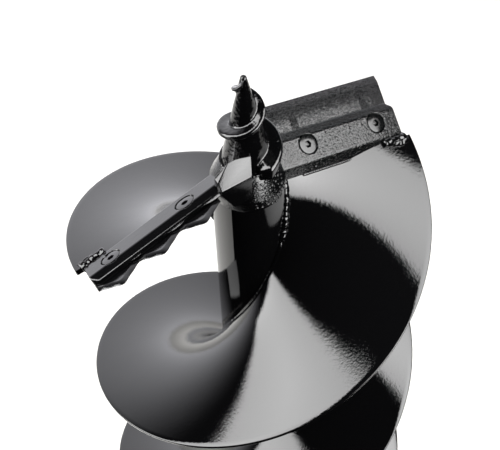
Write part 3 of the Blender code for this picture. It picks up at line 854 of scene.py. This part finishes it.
def make_fasteners():
    top = -SCREW_RECESS
    cone = SCREW_HEAD - SCREW_RADIUS
    screw = turned("screw", [
        (0, top), (SCREW_HEAD, top), (SCREW_HEAD, top - SCREW_RIM),
        (SCREW_RADIUS, top - SCREW_RIM - cone),
        (SCREW_RADIUS, SCREW_TIP + 0.0008), (SCREW_RADIUS - 0.0008, SCREW_TIP), (0, SCREW_TIP),
    ], 64, corner=0.0003)
    head = Matrix.Translation((0, 0, top))
    combine(screw, plug("key", HEX_RADIUS, HEX_DEPTH, -HEX_DEPTH, 6, head, 0.00001))
    places = [place for _, turn in SIDES for place in screw_places(turn)]
    set_out("blade_screws", screw, places, SCREW_COAT, "black_screw_finish",
            ["blade_screw_a1", "blade_screw_a2", "blade_screw_b1", "blade_screw_b2"])

    nut = plug("nut", NUT_RADIUS, NUT_HEIGHT / 2, -NUT_HEIGHT / 2, 6, corner=0.00001)
    rounded(nut, 0.0004, 2)
    combine(nut, plug("thread", HOLE_RADIUS, 0.01, -0.01, 48))
    drop = BLADE_TOP - BLADE_THICKNESS - GAP - NUT_HEIGHT / 2
    places = [place @ Matrix.Translation((0, 0, drop)) for place in places]
    set_out("blade_nuts", nut, places, ZINC, "zinc_plate",
            ["blade_nut_a1", "blade_nut_a2", "blade_nut_b1", "blade_nut_b2"])


def make_gusset(letter, turn, reach, top, back, inner, lean=None):
    """An upright plate beside the pilot; given a lean, its front falls away from the pilot."""
    foot_x, foot_z = GUSSET_FOOT
    outline = [
        (reach, HEAD_Z + 0.084),
        (foot_x, foot_z),
        (inner, foot_z),
        (inner, GUSSET_FRONT_TOP),
    ]
    if lean:
        outline += [
            (inner + 0.0048, top - 0.0045),
            (reach + 0.014, top),
            (reach, GUSSET_FRONT_TOP + 0.0065),
        ]
    else:
        outline += [(inner, top), (reach, top)]
    sides = [[(x, y, z) for x, z in outline] for y in (GUSSET_FRONT, back)]
    plate = lofted("gusset", sides, Matrix.Rotation(turn, 4, "Z"))
    if lean:
        slope = Matrix.Translation((0, GUSSET_FRONT, GUSSET_FRONT_TOP))
        slope = slope @ Matrix.Rotation(lean, 4, "X")
        combine(plate, block("slope", (-0.09, -0.02, 0.0), (0.03, 0.05, 0.04), slope))
    rounded(plate, 0.0008, 3)
    finished(plate, "gusset_plate_" + letter, GUSSET_PAINT, "gloss_black_paint", "gusset_" + letter)


# ---------------------------------------------------------------- flights
def make_flight(letter, turn):
    leaf = new_object("leaf", bpy.data.meshes.new("leaf"))
    run_recipe(
        leaf, LEAF, FLIGHT_PAINT, Start=radians(FLIGHT_START), End=radians(FLIGHT_END),
        Root=FLIGHT_ROOT, Rim=FLIGHT_RADIUS, Rise=RISE, Lead=FLIGHT_LEAD_Z, Turn=turn,
        Dish=FLIGHT_DISH / (FLIGHT_RADIUS - TUBE_RADIUS), Along=300, Across=28,
    )
    plate = leaf.modifiers.new("Plate", "SOLIDIFY")
    plate.thickness = FLIGHT_THICKNESS
    plate.offset = 0.0
    plate.use_even_offset = True
    settle(leaf)
    rounded(leaf, 0.0010, 3, 60)
    place = bar_place(turn)
    combine(leaf, block("ahead", (-0.090, FLIGHT_TRIM, -0.080), (0.090, 0.090, 0.060), place))
    section = [
        (BAR_TRAIL - GAP, GAP),
        (BAR_TRAIL - BAR_BACK_SLOPE - GAP, -BAR_THICKNESS - GAP),
        (BAR_LEAD, -BAR_THICKNESS - GAP),
        (BAR_LEAD, GAP),
    ]
    combine(leaf, prism("bar_room", section, BAR_INNER, BAR_OUTER + GAP, place))
    node = "flight_" + letter
    finished(leaf, "leaf_" + letter, FLIGHT_PAINT, "gloss_black_paint", node, angle=30)


# ---------------------------------------------------------------- welds
def bead(name, paths, width, seed, lumps, depth=0.16, ripple=0.0022):
    """One weld piece made of a bead along each path of points."""
    points, edges = [], []
    for path in paths:
        edges += [(len(points) + i, len(points) + i + 1) for i in range(len(path) - 1)]
        points += [tuple(p) for p in path]
    mesh = bpy.data.meshes.new(name)
    mesh.from_pydata(points, edges, [])
    run = run_recipe(
        new_object(name, mesh), BEAD, WELD_PAINT, Width=width, Ripple=ripple, Depth=depth,
        Lumps=lumps, Seed=float(seed),
    )
    finished(run, name, WELD_PAINT, "gloss_black_paint", angle=180)


def seam(turn, lift, start, end):
    """A line along the tube just over or under a leaf, between two angles in degrees."""
    count, radius = 160, TUBE_RADIUS + 0.0006
    angles = [radians(start + (end - start) * i / count) for i in range(count + 1)]
    return [helix_point(angle, radius, turn, lift) for angle in angles]


def along_bar(turn, start, end, y, z, bow=0.0):
    """A line along a holder bar, in the bar's own frame, bowed sideways in its middle."""
    count = 24
    place = bar_place(turn)
    made = []
    for i in range(count + 1):
        t = i / count
        made.append(place @ Vector((start + (end - start) * t, y + bow * sin(pi * t), z)))
    return made


def ring(radius, height):
    count = 90
    angles = [radians(360.0 * i / count) for i in range(count + 1)]
    return [Vector((radius * cos(a), radius * sin(a), height)) for a in angles]


def collar_patch(start, end, low, high, out):
    """A patch of the collar's outside, to scatter spatter on."""
    points, faces = [], []
    columns, rows = 18, 6
    for j in range(rows + 1):
        height = low + (high - low) * j / rows
        radius = COLLAR_RADIUS + out
        if height > COLLAR_SKIRT_TOP:
            share = (height - COLLAR_SKIRT_TOP) / (COLLAR_TOP - COLLAR_SKIRT_TOP)
            radius += (COLLAR_TOP_RADIUS - COLLAR_RADIUS) * share
        for i in range(columns + 1):
            angle = radians(start + (end - start) * i / columns)
            points.append((radius * cos(angle), radius * sin(angle), height))
    for j in range(rows):
        for i in range(columns):
            a = j * (columns + 1) + i
            faces.append([a, a + 1, a + columns + 2, a + columns + 1])
    mesh = bpy.data.meshes.new("patch")
    mesh.from_pydata(points, [], faces)
    return new_object("patch", mesh)


def make_welds():
    for letter, turn in SIDES:
        over, under = FLIGHT_THICKNESS / 2 + 0.0008, -FLIGHT_THICKNESS / 2 - 0.0016
        bead("seam_weld_" + letter, [seam(turn, over, -62, -8), seam(turn, under, -62, -12)],
             width=0.0038, seed=1 + turn, lumps=0.0034, depth=0.06, ripple=0.0050)
        bead("seam_fillet_" + letter, [seam(turn, over, -440, -60), seam(turn, under, -440, -60)],
             width=0.0024, seed=3 + turn, lumps=0.0006, depth=0.02, ripple=0.0050)
        bead("holder_weld_" + letter, [
            along_bar(turn, 0.0360, 0.0590, BAR_TRAIL - 0.0036, -0.0012, -0.0012),
            along_bar(turn, 0.0450, 0.0600, BAR_TRAIL - 0.0060, -0.0010, -0.0010),
        ], width=0.0040, seed=5 + turn, lumps=0.0040, depth=0.03, ripple=0.0060)
        bead("holder_seam_" + letter, [along_bar(turn, -0.045, 0.036, BAR_TRAIL - 0.0076, -0.0085)],
             width=0.0016, seed=8 + turn, lumps=0.0006)
    bead("pilot_weld", [ring(CORE_BASE_RADIUS + 0.0002, COLLAR_TOP + 0.0004)],
         width=0.0016, seed=11, lumps=0.0006)
    bead("socket_weld", [ring(TUBE_RADIUS + 0.0004, TUBE_BOTTOM - 0.0002)],
         width=0.0024, seed=13, lumps=0.0004)
    for name, start, end, low, high, spacing, size, seed in (
        ("collar_spatter_fine", -112, -45, 0.0490, 0.075, 0.0024, 0.0017, 4),
        ("collar_spatter_coarse", -98, -52, 0.0490, 0.060, 0.0056, 0.0026, 9),
    ):
        patch = collar_patch(start, end, HEAD_Z + low, HEAD_Z + high, 0.0001)
        run_recipe(
            patch, SPATTER, WELD_PAINT, Density=150000.0, Spacing=spacing, Size=size, Seed=seed,
        )
        finished(patch, name, WELD_PAINT, "gloss_black_paint", angle=180)


# ---------------------------------------------------------------- build
make_shaft()
make_clip()
make_pilot()
for side, half_turn in SIDES:
    make_flight(side, half_turn)
make_holder("a", 0.0, HOLDER_A_COAT, swell=0.00004, pit=0.00024)
make_holder("b", pi, HOLDER_B_COAT, swell=0.00004, pit=0.00002)
make_blade("straight_cutter", 0.0, straight_reach, 24, "straight_blade", STRAIGHT_BLADE_COAT)
make_blade("toothed_cutter", pi, tooth_reach, 120, "toothed_blade", TOOTHED_BLADE_COAT)
make_fasteners()
make_gusset(
    "a", 0.0, reach=-0.0380, top=HEAD_Z + 0.1062, back=-0.0142, inner=-0.0105, lean=GUSSET_LEAN,
)
make_gusset("b", pi, reach=-0.0290, top=HEAD_Z + 0.090, back=-0.0135, inner=-0.0062)
make_welds()


# ---------------------------------------------------------------- floor, light and camera
def make_floor():
    """A round pale floor, and a black card, seen only in reflections, that paints shade over the
    floor's front half in the gloss.
    """
    z = CAD_BOX[0].z - 0.0005
    count, reach = 96, 1.2
    turns = [2 * pi * i / count for i in range(count)]
    edge = [(reach * cos(angle), reach * sin(angle), z) for angle in turns]
    floor = from_faces("floor", edge, [list(range(count))])
    pale = Finish("pale_floor", (0.62, 0.61, 0.59), 0.9, 0.0, 0.1)
    pale.bump(pale.noise(40.0, 2.0), 0.0001)
    floor.data.materials.append(pale.material)

    # A black card that only reflections see: painted shade, so glossy parts show black here instead
    # of the pale floor.
    points, faces = [], []
    start, end, inner, outer, steps = -172, -38, 0.045, 4.0, 24
    for i in range(steps + 1):
        angle = radians(start + (end - start) * i / steps)
        points += [(r * cos(angle), r * sin(angle), z + 0.012) for r in (inner, outer)]
    for i in range(steps):
        faces.append([2 * i, 2 * i + 1, 2 * i + 3, 2 * i + 2])
    card = from_faces("black_card", points, faces)
    dark = Finish("reflection_shade_black", (0.002, 0.002, 0.002), 0.9, 0.0, 0.0)
    dark.tint(dark.noise(20.0), (0.001, 0.001, 0.001), (0.003, 0.003, 0.003))
    card.data.materials.append(dark.material)
    # Hidden from camera, diffuse and shadow rays, the card is only a painted shade in the gloss.
    card.visible_camera = False
    card.visible_diffuse = False
    card.visible_shadow = False
    card.visible_transmission = False


def fade_light(data, fade):
    """Make a panel brightest in the middle, falling off by this share at its edges."""
    data.use_nodes = True
    nodes, links = data.node_tree.nodes, data.node_tree.links
    across = nodes.new("ShaderNodeVectorMath")
    across.operation = "DISTANCE"
    across.inputs[1].default_value = (0.5, 0.5, 0.0)
    links.new(nodes.new("ShaderNodeNewGeometry").outputs["Parametric"], across.inputs[0])
    strengths = (1.0 + fade / 2, 1.0 - fade)
    fall = map_range(nodes, links, across.outputs["Value"], (0.0, 0.6), strengths)
    links.new(fall.outputs[0], nodes["Emission"].inputs["Strength"])


def softbox(name, spot, facing, distance, width, height, radiance, roll=0.0, gloss=True, fade=0.0):
    """A rectangular light, placed and faced by (azimuth, elevation) in degrees from the head."""

    def direction(angles):
        a, e = radians(angles[0]), radians(angles[1])
        return Vector((cos(a) * cos(e), sin(a) * cos(e), sin(e)))

    data = bpy.data.lights.new(name, "AREA")
    data.shape = "RECTANGLE"
    data.size = width
    data.size_y = height
    data.energy = radiance * pi * width * height
    if fade:
        fade_light(data, fade)
    lamp = bpy.data.objects.new(name, data)
    bpy.context.scene.collection.objects.link(lamp)
    back = direction(facing)
    side = Vector((0, 0, 1)).cross(back).normalized()
    up = back.cross(side)
    turn = radians(roll)
    across = side * cos(turn) + up * sin(turn)
    over = up * cos(turn) - side * sin(turn)
    place = Matrix((across, over, back)).transposed().to_4x4()
    place.translation = Vector((0, 0, HEAD_Z - 0.02)) + direction(spot) * distance
    lamp.matrix_world = place
    lamp.visible_camera = False
    lamp.visible_glossy = gloss


def make_world():
    """A dim room, brighter low down behind the auger, with a pale backdrop for the camera."""
    world = bpy.data.worlds.new("studio")
    bpy.context.scene.world = world
    world.use_nodes = True
    nodes, links = world.node_tree.nodes, world.node_tree.links
    nodes.clear()
    out = nodes.new("ShaderNodeOutputWorld")
    shade = nodes.new("ShaderNodeBackground")
    towards = nodes.new("ShaderNodeVectorMath")
    towards.operation = "DOT_PRODUCT"
    towards.inputs[1].default_value = (cos(radians(62)), sin(radians(62)), -0.35)
    links.new(nodes.new("ShaderNodeTexCoord").outputs["Generated"], towards.inputs[0])
    spread = map_range(nodes, links, towards.outputs["Value"], (0.30, 0.90), (0.015, 1.75))
    spread.interpolation_type = "SMOOTHSTEP"
    links.new(spread.outputs[0], shade.inputs["Strength"])
    shade.inputs["Color"].default_value = (0.95, 0.95, 1.0, 1.0)
    seen = nodes.new("ShaderNodeBackground")
    seen.inputs["Strength"].default_value = 1.0
    seen.inputs["Color"].default_value = (1.0, 1.0, 1.0, 1.0)
    pick = nodes.new("ShaderNodeMixShader")
    links.new(nodes.new("ShaderNodeLightPath").outputs["Is Camera Ray"], pick.inputs[0])
    links.new(shade.outputs[0], pick.inputs[1])
    links.new(seen.outputs[0], pick.inputs[2])
    links.new(pick.outputs[0], out.inputs["Surface"])


def make_camera():
    azimuth, elevation, roll = radians(-31.25), radians(54.12), radians(-2.3377)
    target, distance = Vector((0.00039, -0.00024, HEAD_Z - 0.0095)), 1.059
    back = Vector((sin(azimuth) * cos(elevation), -cos(azimuth) * cos(elevation), sin(elevation)))
    right = Vector((cos(azimuth), sin(azimuth), 0))
    up = back.cross(right)
    turned_right = right * cos(roll) + up * sin(roll)
    turned_up = up * cos(roll) - right * sin(roll)
    data = bpy.data.cameras.new("camera")
    data.sensor_width = 36.0
    data.lens = 92.2
    data.clip_start = 0.05
    data.clip_end = 50.0
    camera = bpy.data.objects.new("camera", data)
    bpy.context.scene.collection.objects.link(camera)
    place = Matrix((turned_right, turned_up, back)).transposed().to_4x4()
    place.translation = target + back * distance
    camera.matrix_world = place
    bpy.context.scene.camera = camera


make_floor()
make_world()
softbox(
    "key_softbox", spot=(-73.3, 17.3), facing=(-50.6, 39.4), distance=0.631,
    width=0.968, height=0.450, radiance=12.5, roll=42.2, fade=0.35,
)
softbox(
    "side_softbox", spot=(159.6, 40.7), facing=(158.4, 18.6), distance=1.019,
    width=0.644, height=1.964, radiance=11.0, roll=-10.0, fade=0.2,
)
softbox(
    "top_softbox", spot=(52, 66), facing=(52, 66), distance=1.2,
    width=0.35, height=0.35, radiance=5.0,
)
softbox(
    "floor_wash", spot=(60, 40), facing=(60, 90), distance=1.1,
    width=1.4, height=1.4, radiance=4.0, gloss=False,
)
make_camera()
bpy.context.scene.view_settings.view_transform = "Standard"
